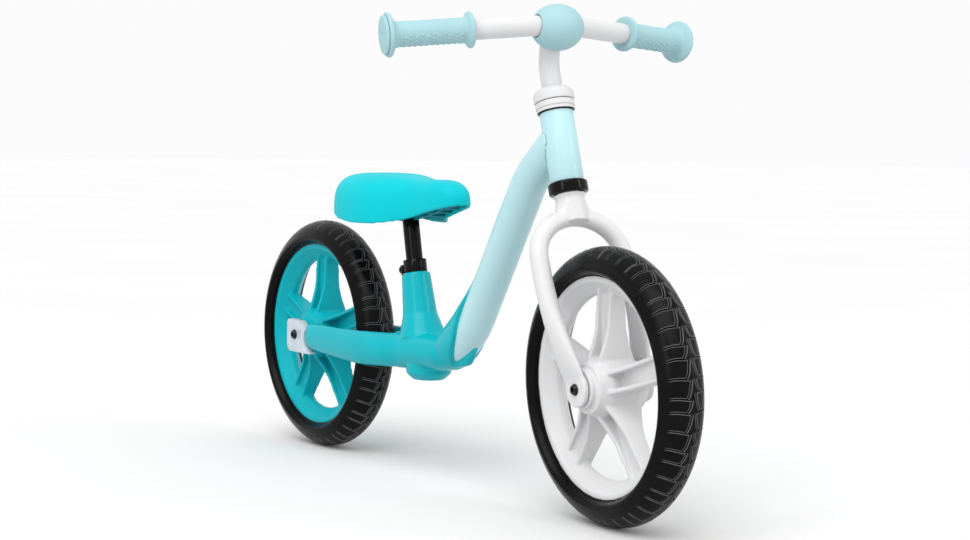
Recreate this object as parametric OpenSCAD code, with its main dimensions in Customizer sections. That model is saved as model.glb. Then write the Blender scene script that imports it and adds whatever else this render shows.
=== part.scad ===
// Child's balance bike: two moulded wheels, a curved main tube, a cast rear frame, a one-piece fork,
// an adjustable saddle and a height-adjustable handlebar.
// Millimetres. +X is forward, +Y is the rider's left, +Z is up.
// The origin is on the ground, midway between the two axles.

/* [Wheels] */
// Distance between the two axles
wheelbase = 600; // [560:1:640]
// Outer diameter of a tyre
wheel_d = 290; // [280:1:300]
// Widest part of a tyre
tyre_w = 56; // [50:1:58]
// Outer diameter of a rim's lip
rim_d = 232; // [226:1:238]
// Number of spokes in a rim
spoke_count = 5; // [3:1:7]
// Overall width of a wheel hub
hub_w = 73; // [70:1:74]

/* [Steering] */
// Lean of the steering axis, its top towards the rider
head_lean = 17; // [12:1:22]
// Distance of the front axle ahead of the steering axis
fork_offset = 19; // [10:1:30]
// Turn of the fork, front wheel and handlebar at rest, positive to the rider's left
steer_angle = -4; // [-40:1:40]
// Length of the head tube
head_tube_l = 77; // [70:1:90]

/* [Frame] */
// Outside diameter of the main tube
main_tube_d = 40; // [36:1:42]
// Slope of the main tube above the horizontal
main_slope = 58.4; // [56:0.1:60]
// Outside diameter of the head tube
head_tube_d = 36.5; // [36:0.5:38]
// Height of the flat underside of the rear frame above the ground
belly_z = 113; // [108:1:118]

/* [Handlebar] */
// Outside diameter of the handlebar tube
bar_d = 22.2; // [21:0.1:23]
// Length of the handlebar tube from tip to tip, measured square to the bike
bar_span = 366; // [330:1:400]
// Angle at which each end of the handlebar sweeps back
bar_sweep = 14.4; // [8:0.1:18]

/* [Saddle] */
// Length of the saddle
saddle_l = 241; // [225:1:250]
// Widest part of the saddle
saddle_w = 121; // [110:1:130]
// Outside diameter of the seat post
post_d = 20; // [18:1:21]
// Lean of the seat post, its top towards the rear
post_lean = 12.5; // [8:0.5:16]

/* [Hidden] */
$fn = 48;

// Wheel bearings: 12 x 28 x 8 mm ball bearings near the hub's two ends
wheel_r = wheel_d / 2;
rim_r = rim_d / 2;
bearing_r = 14;
bearing_w = 8;
bearing_y = hub_w / 2 - 1.5 - bearing_w;
axle_r = 6;
axle_half = hub_w / 2 + 1;
thread_r = 3.4;
bolt_reach = 16;

// Steering axis, in its own frame: x ahead of the axis, y to the left, z along the axis
axis_x = wheelbase / 2 - fork_offset / cos(head_lean);
axle_s = -fork_offset * tan(head_lean);
head_s = 217;
head_top_s = head_s + head_tube_l;
cup_h = 12.5;
collar_h = 16;
collar_s = head_top_s + cup_h - 1 + 0.4;
collar_top_s = collar_s + collar_h;
cup_r = 21.2;
steerer_r = 14;
stem_r = 11.25;
slide_gap = 0.05;
clamp_ring_r = 13.6;
crown_s = 179;

// Fork blade: height along the axis, offset to the side, half width fore and aft, half thickness
shoulder_y = 52.5;
shoulder_s = 134;
blade = [
    [116, 53.2, 10.1, 10], [98, 53.2, 10.6, 10], [82, 52.6, 11.6, 9.6], [66, 51.6, 13.2, 8.8],
    [50, 49.8, 15.2, 7.6], [34, 47.4, 17.0, 6.4], [18, 44.2, 18.4, 4.8], [6, 41.4, 18.6, 3.2],
    [-4, 40.6, 17.6, 2.2],
];
plate_in = axle_half;
plate_out = axle_half + 5.7;
plate_r = 18.7;

// Handlebar, in the steering frame
bar_e = 28;
bar_s = 381;
stem_bend = 48;
stem_turn = 65;
stem_foot_s = 252;
stem_wall = 2.6;
bar_wall = 2;
bar_bend = 60;
bar_straight = 30;
grip_start = 67;
grip_end = 156;

// Rear frame and seat tube
rear_x = -wheelbase / 2;
seat_foot = [-76, 0, 200];
seat_top_d = 52;
boss_h = 38;
post_drop = 100;
clamp_h = 15.5;
dropout_out = 47;

// Main tube centreline: a bend out of the rear frame, a straight, then a bend to the head tube
tube_r = main_tube_d / 2;
tube_wall = 2.5;
tube_foot = [51.2, 0, 195.1];
foot_bend = 105;
foot_turn = 38;
tube_straight = 171;
tube_bend = 110;
tube_turn = 19;
tube_top_l = 56;

module along_y() {
    rotate([-90, 0, 0]) children();
}

module both_sides() {
    children();
    mirror([0, 1, 0]) children();
}

module steering() {
    translate([axis_x, 0, wheel_r]) rotate([0, -head_lean, 0]) children();
}

module steered() {
    steering() rotate([0, 0, steer_angle]) children();
}

module at_front_axle() {
    steered() translate([fork_offset, 0, axle_s]) rotate([0, head_lean, 0]) children();
}

module at_rear_axle() {
    translate([rear_x, 0, wheel_r]) children();
}

module along_post() {
    translate(seat_foot) rotate([0, -post_lean, 0]) children();
}

module ring(r_out, r_in, h) {
    difference() {
        cylinder(r = r_out, h = h);
        translate([0, 0, -1]) cylinder(r = r_in, h = h + 2);
    }
}

// ---- sweeps ----

// A closed skin over a list of rings, each with the same number of points
module skin(rings) {
    count = len(rings);
    n = len(rings[0]);
    polyhedron(
        points = [for (r = rings) each r],
        faces = concat(
            [[for (i = [n - 1:-1:0]) i]],
            [for (k = [0:count - 2]) for (i = [0:n - 1])
                [k * n + i, k * n + (i + 1) % n, (k + 1) * n + (i + 1) % n, (k + 1) * n + i]],
            [[for (i = [0:n - 1]) (count - 1) * n + i]]
        )
    );
}

// A ring of radius r in the plane square to a path's slope; station: [centre, slope]
function plane_ring(st, r, n) = [
    for (i = [0:n - 1])
        let (t = 360 * i / n)
        st[0] + r * [cos(t) * sin(st[1]), -sin(t), -cos(t) * cos(st[1])]
];

module tube_along(path, r, n) {
    skin([for (st = path) plane_ring(st, r, n)]);
}

function heading(a) = [cos(a), 0, sin(a)];
function square_to(a) = [sin(a), 0, -cos(a)];

// ---- wheels, about the Y axis ----

function tyre_outside(steps) = [
    for (i = [0:steps])
        let (a = -68 + 136 * i / steps)
        [wheel_r - 34 + 34 * cos(a), tyre_w / 2 * sin(a)]
];

module tyre_section() {
    lip = rim_r + 0.4;
    polygon(concat(
        tyre_outside(24),
        [
            [lip + 2.5, tyre_w / 2 - 5.5], [lip, 19], [lip, 13.2], [rim_r - 9, 11.2],
            [rim_r - 9, -11.2], [lip, -13.2], [lip, -19], [lip + 2.5, -tyre_w / 2 + 5.5],
        ]
    ));
}

module tyre() {
    color([0.05, 0.05, 0.055]) rotate([90, 0, 0]) rotate_extrude($fn = 96) tyre_section();
}

module rim_section() {
    floor_r = rim_r - 9.2;
    polygon([
        [floor_r, -11.5], [rim_r - 1, -13.4], [rim_r, -14.2], [rim_r, -15.5], [rim_r - 1.2, -16.4],
        [rim_r - 6.6, -15.8], [rim_r - 8.2, -14.2], [rim_r - 19, -3.6], [rim_r - 19.6, -1.6],
        [rim_r - 19.6, 1.6], [rim_r - 19, 3.6], [rim_r - 8.2, 14.2], [rim_r - 6.6, 15.8],
        [rim_r - 1.2, 16.4], [rim_r, 15.5], [rim_r, 14.2], [rim_r - 1, 13.4], [floor_r, 11.5],
    ]);
}

module spoke_rib(side) {
    reach = rim_r - 11;
    translate([0, side * 9.2, 0]) rotate([0, 0, side * 1.2]) rotate([90, 0, 0])
        translate([0, 0, -2.4]) linear_extrude(4.8)
            polygon([
                [20, -22.5], [30, -21], [44, -15.5], [60, -11.2], [reach, -8],
                [reach, 8], [60, 11.2], [44, 15.5], [30, 21], [20, 22.5],
            ]);
}

module spoke() {
    reach = rim_r - 11;
    spoke_rib(1);
    spoke_rib(-1);
    translate([0, 0, -4]) linear_extrude(8)
        polygon([[16, -9.2], [reach, -11], [reach, 11], [16, 9.2]]);
}

module hub_body() {
    shoulder = hub_w / 2 - 6.5;
    along_y() {
        translate([0, 0, -16]) cylinder(r = 31, h = 32);
        translate([0, 0, 15]) cylinder(r1 = 31, r2 = 26, h = shoulder - 15);
        translate([0, 0, -shoulder]) cylinder(r1 = 26, r2 = 31, h = shoulder - 15);
        translate([0, 0, -hub_w / 2]) cylinder(r = 21, h = hub_w);
    }
}

module rim(tint) {
    color(tint) difference() {
        union() {
            rotate([90, 0, 0]) rotate_extrude($fn = 96) rim_section();
            rotate([90, 0, 0]) for (i = [0:spoke_count - 1])
                rotate([0, 0, 90 + i * 360 / spoke_count]) spoke();
            hub_body();
        }
        along_y() translate([0, 0, -hub_w]) cylinder(r = 9, h = 2 * hub_w);
        both_sides() along_y() translate([0, 0, bearing_y]) cylinder(r = bearing_r, h = hub_w);
    }
}

module bearing_outer_races() {
    color("silver") both_sides() along_y() translate([0, 0, bearing_y]) ring(bearing_r, 11.7, bearing_w);
}

module bearing_inner_races() {
    color("silver") both_sides() along_y() translate([0, 0, bearing_y]) ring(8.3, axle_r, bearing_w);
}

module bearing_balls() {
    color("gainsboro") both_sides() for (i = [0:9])
        rotate([0, 36 * i, 0]) translate([10, bearing_y + bearing_w / 2, 0]) sphere(r = 1.65, $fn = 24);
}

module axle() {
    color("silver") along_y() difference() {
        translate([0, 0, -axle_half]) cylinder(r = axle_r, h = 2 * axle_half);
        translate([0, 0, -axle_half - 1]) cylinder(r = thread_r, h = bolt_reach + 4);
        translate([0, 0, axle_half - bolt_reach - 3]) cylinder(r = thread_r, h = bolt_reach + 4);
    }
}

module axle_spacers() {
    color("dimgray") both_sides() along_y()
        translate([0, 0, bearing_y + bearing_w]) ring(8.5, axle_r, axle_half - bearing_y - bearing_w);
}

// Two button-head bolts, their heads seated on faces at head_y
module axle_bolts(head_y, head_r) {
    color([0.06, 0.06, 0.06]) both_sides() along_y() difference() {
        union() {
            translate([0, 0, axle_half - bolt_reach])
                cylinder(r = thread_r, h = head_y - axle_half + bolt_reach);
            translate([0, 0, head_y]) cylinder(r1 = head_r, r2 = head_r - 1.6, h = 3);
        }
        translate([0, 0, head_y + 1]) cylinder(r = 2.9, h = 3, $fn = 6);
    }
}

// ---- front frame ----

module head_tube() {
    color([0.71, 0.85, 0.88]) steering() translate([0, 0, head_s]) ring(head_tube_d / 2, 15.5, head_tube_l);
}

// Stations up the main tube, its two ends lengthened by extra
function main_path(extra) =
    let (
        foot_c = tube_foot - foot_bend * square_to(main_slope),
        foot_a = main_slope - foot_turn,
        top = tube_foot + tube_straight * heading(main_slope),
        top_c = top + tube_bend * square_to(main_slope),
        top_a = main_slope - tube_turn,
        end = top_c - tube_bend * square_to(top_a)
    )
    concat(
        [[foot_c + foot_bend * square_to(foot_a) - extra * heading(foot_a), foot_a]],
        [for (i = [0:10]) let (a = foot_a + foot_turn * i / 10) [foot_c + foot_bend * square_to(a), a]],
        [for (i = [0:6]) let (a = main_slope - tube_turn * i / 6) [top_c - tube_bend * square_to(a), a]],
        [[end + (tube_top_l + extra) * heading(top_a), top_a]]
    );

module main_tube() {
    color([0.71, 0.85, 0.88]) difference() {
        tube_along(main_path(0.01), tube_r, 48);
        tube_along(main_path(1), tube_r - tube_wall, 48);
        steering() translate([0, 0, head_s - 40]) cylinder(r = head_tube_d / 2, h = head_tube_l + 80);
        steering() translate([0, -30, head_s - 40]) cube([60, 60, head_tube_l + 80]);
    }
}

// ---- rear frame ----

module blob(p, r, flat = 1, tall = 1) {
    translate(p) scale([1, flat, tall]) sphere(r = r, $fn = 28);
}

// Stations along a stay: x, y, z, half thickness, half height
stay_line = [
    [-52, 9, 146.5, 15, 17], [-84, 17, 145, 18.5, 20], [-102, 24.5, 144.2, 17, 20.4],
    [-120, 31, 143.6, 14, 20.6], [-136, 35.6, 143.2, 11.2, 20.6], [-152, 38.6, 143, 9.2, 20.4],
    [-176, 40.4, 143.2, 7.8, 19.6], [-202, 41.4, 143.8, 6.8, 18.7], [-232, 42.1, 144.6, 5.6, 17.6],
    [-262, 42.6, 145.4, 4.6, 16.4], [-274, 42.7, 145.8, 3.8, 13.5], [-280, 42.7, 146, 2.4, 8],
];

module stay() {
    skin([
        for (p = stay_line)
            [for (i = [0:27]) let (t = 360 * i / 28) [p[0], p[1] + p[3] * cos(t), p[2] + p[4] * sin(t)]]
    ]);
}

module belly() {
    hull() {
        blob([-92, 13, 145], 22);
        blob([-92, -13, 145], 22);
        blob([-10, 7, 148], 20);
        blob([-10, -7, 148], 20);
        blob([27, 0, 150.5], 13.5, 1.15, 1);
    }
    translate([-52, 0, belly_z]) cylinder(r1 = 18.5, r2 = 27, h = 8);
    translate([-52, 0, belly_z + 8]) cylinder(r = 27, h = 14);
}

// Socket round the foot of the main tube; stations: centre, slope, reach behind the tube, half width
function socket_centre(a) = tube_foot - foot_bend * square_to(main_slope) + foot_bend * square_to(a);
socket_line = [
    [tube_foot + 44 * heading(main_slope), main_slope, 20.4, 20.4],
    [tube_foot + 36 * heading(main_slope), main_slope, 21, 20.8],
    [tube_foot + 28 * heading(main_slope), main_slope, 22.4, 21.4],
    [tube_foot + 18.5 * heading(main_slope), main_slope, 24, 22.5],
    [tube_foot + 9 * heading(main_slope), main_slope, 26.6, 23.4],
    [tube_foot, main_slope, 28.8, 24.2],
    [socket_centre(53), 53, 30, 24.6],
    [socket_centre(46), 46, 30.6, 25],
    [socket_centre(38), 38, 31, 25],
    [socket_centre(28), 28, 29, 25],
    [socket_centre(20.4), 20.4, 26, 24],
];

module socket() {
    skin([
        for (k = [len(socket_line) - 1:-1:0])
            let (p = socket_line[k])
            [for (i = [0:31])
                let (t = 360 * i / 32, c = cos(t), r = c > 0 ? 23.5 : p[2])
                p[0] + [r * c * sin(p[1]), -p[3] * sin(t), -r * c * cos(p[1])]]
    ]);
}

// Everything in front of the socket's mouth and above the toe under the tube
module mouth_clearance() {
    translate([0, 45, 0]) rotate([90, 0, 0]) linear_extrude(90) polygon([
        [68, 246.5], [59.7, 233.5], [51.5, 221.5], [45, 209], [40.2, 196], [38.2, 186], [36.6, 176.5],
        [34, 168], [30.1, 159.9], [23, 147], [17, 138.6], [24.3, 141.9], [33.5, 147.8], [42.2, 154.4],
        [46, 158], [140, 158], [140, 246.5],
    ]);
}

// The space beside the toe, which narrows to a keel under the tube
module toe_sides() {
    both_sides() translate([17, 9, 0]) rotate([0, 0, -12]) translate([0, 40, 0])
        rotate([90, 0, 0]) linear_extrude(40) polygon([
            [0.3, 138.4], [1.5, 133], [70, 133], [70, 162], [30, 162],
            [25.5, 158], [16.8, 151.5], [8, 145.5], [5, 143], [1.5, 139.8],
        ]);
}

module boss() {
    along_post() translate([0, 0, -44]) cylinder(r1 = 22.6, r2 = 17.2, h = 42 + boss_h);
    along_post() translate([0, 0, boss_h - 2]) cylinder(r1 = 17.2, r2 = 15.6, h = 2);
    along_post() translate([0, 0, -40]) cylinder(r1 = 29, r2 = 20.2, h = 29);
}

module rear_frame() {
    color([0, 0.75, 0.81]) difference() {
        union() {
            both_sides() stay();
            belly();
            socket();
            boss();
        }
        at_rear_axle() along_y() translate([0, 0, -33]) cylinder(r = wheel_r + 6, h = 66, $fn = 96);
        tube_along(main_path(0.3), tube_r + 0.15, 48);
        mouth_clearance();
        toe_sides();
        along_post() translate([0, 0, -72]) cylinder(r = post_d / 2 + slide_gap, h = 160);
        both_sides() dropout_shape(dropout_out - 8.2, 12, 0.3);
    }
}

// Outline of a dropout plate, seen from the side: a rounded tail and a scooped front edge
module dropout_outline(grow) {
    offset(delta = grow) difference() {
        hull() {
            translate([rear_x - 13, wheel_r + 12]) circle(r = 7);
            translate([rear_x - 10, wheel_r - 12]) circle(r = 10);
            translate([rear_x + 10, wheel_r + 16]) circle(r = 2);
            translate([rear_x + 38, wheel_r - 22]) square([1, 1]);
            translate([rear_x + 30, wheel_r + 6]) square([1, 1]);
        }
        translate([rear_x + 40.5, wheel_r - 3]) circle(r = 17.2);
    }
}

module dropout_shape(y0, h, grow) {
    translate([0, y0 + h, 0]) rotate([90, 0, 0]) linear_extrude(h) dropout_outline(grow);
}

module axle_plate_side() {
    color([0.83, 0.87, 0.91]) difference() {
        dropout_shape(axle_half, dropout_out - axle_half, 0);
        at_rear_axle() along_y() cylinder(r = thread_r + 0.4, h = 80);
        for (x = [10.6, 14.2])
            translate([rear_x + x, dropout_out - 1.2, wheel_r - 5]) cube([1.4, 3, 12]);
    }
}

module seat_clamp() {
    color([0.05, 0.05, 0.05]) along_post() translate([0, 0, boss_h]) difference() {
        union() {
            cylinder(r = 13.9, h = clamp_h);
            translate([-23.5, -6.5, 0]) cube([14, 13, clamp_h - 3]);
        }
        translate([0, 0, -1]) cylinder(r = post_d / 2 + slide_gap, h = clamp_h + 2);
        translate([-30, -1.2, -1]) cube([24, 2.4, clamp_h + 2]);
        translate([-18.6, -15, clamp_h / 2 - 1.5]) rotate([-90, 0, 0]) cylinder(r = 2.6, h = 30);
    }
}

module seat_clamp_bolt() {
    color([0.12, 0.12, 0.12]) along_post() translate([-18.6, 0, boss_h + clamp_h / 2 - 1.5])
        rotate([-90, 0, 0]) difference() {
            union() {
                translate([0, 0, -7]) cylinder(r = 2.5, h = 14);
                translate([0, 0, -9.5]) cylinder(r = 4, h = 3);
                translate([0, 0, 6.5]) cylinder(r = 4, h = 3);
            }
            translate([0, 0, -10]) cylinder(r = 1.9, h = 2.5, $fn = 6);
        }
}

// ---- headset ----

// A cup that plugs into an end of the head tube, with a pocket for its bearing
module cup(tall) {
    difference() {
        union() {
            cylinder(r1 = cup_r - 1, r2 = cup_r, h = 1.5);
            translate([0, 0, 1.5]) cylinder(r = cup_r, h = tall - 3);
            translate([0, 0, tall - 1.5]) cylinder(r1 = cup_r, r2 = cup_r - 1, h = 1.5);
            translate([0, 0, tall - 1]) cylinder(r = 15.45, h = 9);
        }
        translate([0, 0, -1]) cylinder(r = 20, h = 9);
        translate([0, 0, -1]) cylinder(r = steerer_r + 0.5, h = tall + 12);
    }
}

module lower_headset_cup() {
    color([0.04, 0.04, 0.04]) steering() translate([0, 0, head_s - cup_h]) cup(cup_h);
}

module upper_headset_cup() {
    color([0.95, 0.95, 0.95]) steering() translate([0, 0, head_top_s + cup_h - 1])
        mirror([0, 0, 1]) cup(cup_h - 1);
}

module at_headset_bearings() {
    steering() {
        translate([0, 0, head_s - cup_h + 1]) children();
        translate([0, 0, head_top_s + cup_h - 8]) children();
    }
}

module headset_outer_races() {
    color("silver") at_headset_bearings() ring(20, 18.4, 6);
}

module headset_balls() {
    color("gainsboro") at_headset_bearings() for (i = [0:15])
        rotate([0, 0, 22.5 * i]) translate([17, 0, 3]) sphere(r = 1.3, $fn = 20);
}

module headset_inner_races() {
    color("silver") at_headset_bearings() ring(15.6, steerer_r, 6);
}

// ---- fork ----

function blade_lean(s) = fork_offset * (crown_s + 11 - s) / (crown_s + 11 - axle_s);

// Centreline stations of one half of the fork, from the crown down: centre, tangent angle, half sizes
function crown_stations(steps) = [
    for (i = [0:steps - 1])
        let (a = 90 * i / steps, s = shoulder_s + (crown_s - shoulder_s) * cos(a))
        [[blade_lean(s), shoulder_y * sin(a), s], a, 10, 10]
];
function blade_tilt(i) =
    let (lo = i == 0 ? [shoulder_s, shoulder_y] : blade[i - 1], hi = blade[min(i + 1, len(blade) - 1)])
    90 + atan2(lo[1] - hi[1], lo[0] - hi[0]);
function blade_stations() = concat(
    [[[blade_lean(shoulder_s), shoulder_y, shoulder_s], 90, 10, 10]],
    [for (i = [0:len(blade) - 1])
        [[blade_lean(blade[i][0]), blade[i][1], blade[i][0]], blade_tilt(i), blade[i][2], blade[i][3]]]
);
function half_stations(steps) = concat(crown_stations(steps), blade_stations());
function flip(st) = [[st[0][0], -st[0][1], st[0][2]], -st[1], st[2], st[3]];
function all_stations(steps) =
    let (half = half_stations(steps), n = len(half))
    concat([for (i = [n - 1:-1:1]) flip(half[i])], half);
function station_ring(st, n) = [
    for (i = [0:n - 1])
        let (t = 360 * i / n, across = st[3] * sin(t))
        st[0] + [st[2] * cos(t), across * sin(st[1]), across * cos(st[1])]
];

module fork() {
    color([0.96, 0.96, 0.96]) steered() difference() {
        union() {
            skin([for (st = all_stations(10)) station_ring(st, 28)]);
            translate([0, 0, crown_s - 6]) cylinder(r1 = 16.6, r2 = 15.4, h = 31);
            translate([0, 0, crown_s + 22.4]) cylinder(r = 17.6, h = 2.7);
            both_sides() translate([fork_offset, plate_in, axle_s]) rotate([-90, 0, 0])
                cylinder(r = plate_r, h = plate_out - plate_in);
        }
        translate([0, 0, crown_s]) cylinder(r = steerer_r, h = 60);
        translate([fork_offset, -100, axle_s]) rotate([-90, 0, 0]) cylinder(r = thread_r + 0.4, h = 200);
        both_sides() translate([fork_offset, plate_out, axle_s])
            rotate([-90, 0, 0]) cylinder(r = 7, h = 20);
        translate([21.7, 36, 37.3]) rotate([-90, 0, 0]) cylinder(r = 1.3, h = 7, $fn = 24);
    }
}

module steerer_tube() {
    color("silver") steered() translate([0, 0, crown_s])
        ring(steerer_r, stem_r + slide_gap, collar_s - crown_s - 1);
}

module steering_collar() {
    color([0.96, 0.96, 0.96]) steered() translate([0, 0, collar_s]) difference() {
        rotate_extrude() polygon([
            [0, 0], [cup_r + 0.6, 0], [cup_r + 0.8, 2], [cup_r + 0.8, 8], [cup_r - 0.4, 11.6],
            [cup_r - 3, 14.4], [cup_r - 6.4, collar_h], [0, collar_h],
        ]);
        translate([0, 0, -1]) cylinder(r = stem_r + slide_gap, h = collar_h + 2);
        translate([0, 0, 3]) cylinder(r = clamp_ring_r, h = 9);
    }
}

// ---- handlebar ----

stem_straight_s = bar_s - stem_bend * sin(stem_turn);

function stem_path(extra) = concat(
    [[[0, 0, stem_foot_s - extra], 90]],
    [for (i = [0:12])
        let (a = stem_turn * i / 12)
        [[stem_bend * (1 - cos(a)), 0, stem_straight_s + stem_bend * sin(a)], 90 - a]],
    [[[bar_e, 0, bar_s] + extra * heading(90 - stem_turn), 90 - stem_turn]]
);

module bar_middle(r) {
    translate([bar_e, -bar_straight, bar_s]) rotate([-90, 0, 0]) cylinder(r = r, h = 2 * bar_straight);
}

// Frame of one end of the bar: z runs outwards along it from the bend
module along_bar(side) {
    translate([bar_e, side * bar_straight, bar_s]) rotate([0, 0, side * bar_sweep])
        rotate([-90 * side, 0, 0]) children();
}

module stem() {
    color([0.96, 0.96, 0.96]) steered() difference() {
        tube_along(stem_path(0.01), stem_r, 36);
        tube_along(stem_path(1), stem_r - stem_wall, 36);
        bar_middle(bar_d / 2);
    }
}

module handlebar() {
    half = (bar_span / 2 - bar_straight) / cos(bar_sweep);
    color([0.96, 0.96, 0.96]) steered() difference() {
        union() {
            bar_middle(bar_d / 2);
            for (side = [-1, 1])
                along_bar(side) translate([0, 0, -6]) cylinder(r = bar_d / 2, h = half + 6);
        }
        bar_middle(bar_d / 2 - bar_wall);
        for (side = [-1, 1])
            along_bar(side) translate([0, 0, -5]) cylinder(r = bar_d / 2 - bar_wall, h = half + 6);
    }
}

module bar_pad() {
    color([0.71, 0.85, 0.88]) steered() difference() {
        translate([bar_e, 0, bar_s - 1]) rotate([90, 0, 0]) rotate_extrude()
            polygon([for (a = [-90:7.5:90]) [25 * cos(a), 30 * sin(a)]]);
        bar_middle(bar_d / 2 + 0.8);
        translate([stem_bend, 0, stem_straight_s]) rotate([90, 0, 0]) rotate([0, 0, 180 - stem_turn])
            rotate_extrude(angle = stem_turn) translate([stem_bend, 0]) circle(r = stem_r + 0.3);
    }
}

module grip(side) {
    color([0.71, 0.85, 0.88]) steered() along_bar(side) difference() {
        rotate_extrude() polygon([
            [0, grip_start], [17.6, grip_start], [19.2, grip_start + 1.4], [19.2, grip_start + 3.6],
            [17.6, grip_start + 5], [14, grip_start + 6.5], [13.3, grip_start + 9],
            [13.3, grip_end - 9], [14.5, grip_end - 5], [20, grip_end - 2.6], [22.8, grip_end - 1],
            [23.4, grip_end + 0.6], [23.4, grip_end + 2.4], [22.4, grip_end + 3.6], [0, grip_end + 3.6],
        ]);
        translate([0, 0, grip_start - 1]) cylinder(r = bar_d / 2 + 0.02, h = 100);
    }
}

module bar_end_plug(side) {
    steered() along_bar(side) translate([0, 0, grip_end]) rotate_extrude() polygon([
        [0, -12], [bar_d / 2 - 2.1, -12], [bar_d / 2 - 2.1, 3.7], [20.8, 3.7], [20.8, 5.6], [19.6, 6.8],
        [10, 7.9], [3, 7.6], [2, 6.6], [0, 6.4],
    ]);
}

module bar_end_plugs() {
    color([0.71, 0.85, 0.88]) {
        bar_end_plug(1);
        bar_end_plug(-1);
    }
}

// Split ring squeezed onto the stem inside the collar
module clamp_ring() {
    color("dimgray") steered() translate([0, 0, collar_s + 3]) difference() {
        ring(clamp_ring_r, stem_r + slide_gap, 9);
        translate([-20, -1, -1]) cube([20, 2, 12]);
    }
}

// ---- saddle ----

// Half width, top height and lower edge of the saddle at x, measured from its nose
saddle_nose = [15, 0, 0];
saddle_x = [
    0, 3, 8, 16, 26, 40, 56, 72, 82, 92, 102,
    114, 130, 148, 168, 188, 206, 220, 231, 238, 241,
];
saddle_half = [
    5, 11, 16.5, 20.5, 22.5, 25, 26.5, 28, 31.5, 38, 46,
    53, 58, 60.5, 60.5, 58.5, 53, 45, 34, 22, 9,
];
saddle_top = [
    329, 335, 340, 345, 348.5, 349.5, 349, 349.2, 349.6, 350.2, 351.2,
    352.6, 354.4, 355, 355, 354.4, 353.2, 350, 343, 333, 322,
];
saddle_low = [
    320.5, 319.6, 318.4, 316.6, 314.6, 311.4, 307.4, 303.2, 300.8, 298.6, 296.8,
    295.4, 294.8, 294.8, 296, 298.6, 302.6, 306.6, 310.4, 313, 314.5,
];

// Section points from the right edge over the top to the left edge, then back along the underside
function saddle_arch(w, low, top, n) = [
    for (i = [0:n])
        let (t = 180 * i / n, c = cos(t), s = sin(t))
        [-w * sign(c) * pow(abs(c), 0.62), low + (top - low) * pow(s, 0.62)]
];

module saddle_loft(inset, depth, n) {
    last = len(saddle_x) - 1;
    skin([
        for (k = [last:-1:0])
            let (
                end_gap = k == 0 ? -inset : k == last ? inset : 0,
                x = saddle_nose[0] - saddle_l / 241 * saddle_x[k] + end_gap,
                w = max(saddle_half[k] * saddle_w / 121 - inset, 3)
            )
            [for (p = saddle_arch(w, saddle_low[k] - depth, saddle_top[k] - inset, n)) [x, p[0], p[1]]]
    ]);
}

module saddle_shell() {
    color([0, 0.86, 0.91]) difference() {
        saddle_loft(0, 0, 24);
        saddle_loft(4, 20, 24);
    }
}

module saddle_base() {
    color([0.02, 0.55, 0.6]) difference() {
        union() {
            intersection() {
                saddle_loft(4.5, 20, 24);
                saddle_loft(0, -3, 24);
                union() {
                    translate([-240, -2, 290]) cube([260, 4, 60]);
                    for (x = [-190, -150, -66, -46, -26, -8])
                        translate([x, -70, 290]) cube([4, 140, 60]);
                    translate([-240, -70, 334]) cube([260, 140, 6]);
                }
            }
            along_post() translate([0, 0, 103]) cylinder(r = 15, h = 36);
        }
        along_post() translate([0, 0, 90]) cylinder(r = post_d / 2 + 0.02, h = 42);
        saddle_bolt_bores(0.05);
    }
}

// Cross bolts through the socket and the post
module saddle_bolt_bores(gap) {
    along_post() for (z = [110, 117])
        translate([0, 0, z]) rotate([90, 0, 0])
            cylinder(r = 2 + gap, h = 34 + 4 * gap, center = true, $fn = 24);
}

module seat_post() {
    color([0.04, 0.04, 0.04]) along_post() difference() {
        translate([0, 0, seat_top_d - post_drop]) cylinder(r = post_d / 2, h = post_drop + 80);
        translate([0, 0, seat_top_d - post_drop - 1]) cylinder(r = post_d / 2 - 2, h = post_drop + 74);
        for (z = [110, 117])
            translate([0, 0, z]) rotate([90, 0, 0]) cylinder(r = 2.05, h = 40, center = true, $fn = 24);
    }
}

module saddle_bolts() {
    color("dimgray") saddle_bolt_bores(0);
}

head_tube();
main_tube();
rear_frame();
axle_plate_side();  // axle_plate_left
mirror([0, 1, 0]) axle_plate_side();  // axle_plate_right
at_rear_axle() axle();  // rear_axle
at_rear_axle() axle_bolts(dropout_out, 6.3);  // rear_axle_bolts
at_rear_axle() axle_spacers();  // rear_axle_spacers
at_rear_axle() bearing_inner_races();  // rear_bearing_inner_races
lower_headset_cup();
upper_headset_cup();
headset_outer_races();
headset_balls();
seat_clamp();
seat_clamp_bolt();
saddle_shell();
saddle_base();
seat_post();
saddle_bolts();
fork();
steerer_tube();
steering_collar();
headset_inner_races();
at_front_axle() axle();  // front_axle
at_front_axle() axle_bolts(plate_out, 6.3);  // front_axle_bolts
at_front_axle() axle_spacers();  // front_axle_spacers
at_front_axle() bearing_inner_races();  // front_bearing_inner_races
stem();
handlebar();
bar_pad();
grip(1);  // grip_left
grip(-1);  // grip_right
bar_end_plugs();
clamp_ring();
at_front_axle() tyre();  // front_tyre
at_front_axle() rim([0.96, 0.96, 0.96]);  // front_rim
at_front_axle() bearing_outer_races();  // front_bearing_outer_races
at_front_axle() bearing_balls();  // front_bearing_balls
at_rear_axle() tyre();  // rear_tyre
at_rear_axle() rim([0, 0.75, 0.81]);  // rear_rim
at_rear_axle() bearing_outer_races();  // rear_bearing_outer_races
at_rear_axle() bearing_balls();  // rear_bearing_balls
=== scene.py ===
"""Looks of a child's balance bike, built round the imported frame.

Lengths are millimetres until mesh() scales them to metres. Sizes of modifiers and materials are metres.
"""

import math

import bmesh
import bpy
import numpy as np
from mathutils import Matrix, Vector


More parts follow.
